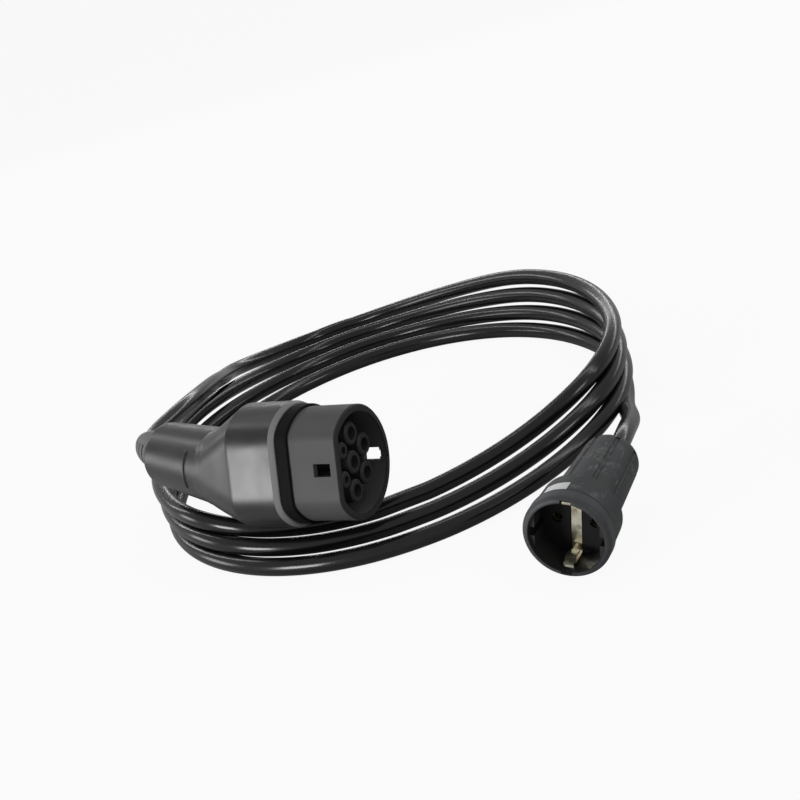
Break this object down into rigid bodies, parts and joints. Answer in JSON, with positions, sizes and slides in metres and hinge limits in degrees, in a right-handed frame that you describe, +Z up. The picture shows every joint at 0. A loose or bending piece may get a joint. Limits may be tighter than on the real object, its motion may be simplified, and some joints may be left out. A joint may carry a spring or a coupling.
{
  "type": "vehicle-to-load adapter",
  "caption": "Car charging plug with a bent handle, a long round cable lying in a loose coil and a round earthed mains socket coupler at its other end.",
  "frame": {"origin": "on the surface it lies on, below the middle of the plug and the coupler together", "axes": "+X the way the plug's nose points, -Y the way the coupler's recess faces, +Z up"},
  "size_m": [0.4021, 0.4103, 0.0906],
  "materials": {
    "housing": "fine matte grain",
    "nose": "fine matte grain",
    "seal": "matte",
    "carrier": "matte",
    "contact_metal": "turned, plated",
    "screw_steel": "zinc plated",
    "resistor": "glazed",
    "boot": "matte",
    "cable_jacket": "glossy",
    "core_brown": "extruded",
    "core_blue": "extruded",
    "core_green": "extruded",
    "coupler_rubber": "matte, dusty",
    "coupler_front": "matte",
    "insert": "matte",
    "earth_metal": "nickel plated, bent sheet",
    "label": "satin"
  },
  "bodies": {
    "root": {"plug_housing": "housing", "nose_shroud": "nose", "nose_seal": "seal", "contact_carrier": "carrier", "line_contact": "contact_metal", "neutral_contact": "contact_metal", "earth_contact": "contact_metal", "pilot_contact": "contact_metal", "proximity_contact": "contact_metal", "contact_retainer": "carrier", "retainer_screws": "screw_steel", "coding_resistor": "resistor", "plug_cord_clamp": "carrier", "plug_clamp_screws": "screw_steel", "plug_boot": "boot", "plug_cord_end": "cable_jacket", "plug_line_core": "core_brown", "plug_neutral_core": "core_blue", "plug_earth_core": "core_green", "coupler_body": "coupler_rubber", "coupler_front": "coupler_front", "socket_insert": "insert", "earth_bracket": "earth_metal", "line_socket": "contact_metal", "neutral_socket": "contact_metal", "terminal_screws": "screw_steel", "coupler_cord_clamp": "carrier", "coupler_clamp_screws": "screw_steel", "coupler_cord_end": "cable_jacket", "coupler_line_core": "core_brown", "coupler_neutral_core": "core_blue", "coupler_earth_core": "core_green", "blank_label": "label", "cable_lead_in": "cable_jacket", "cable_coil": "cable_jacket", "cable_lead_out": "cable_jacket"}
  },
  "joints": []
}
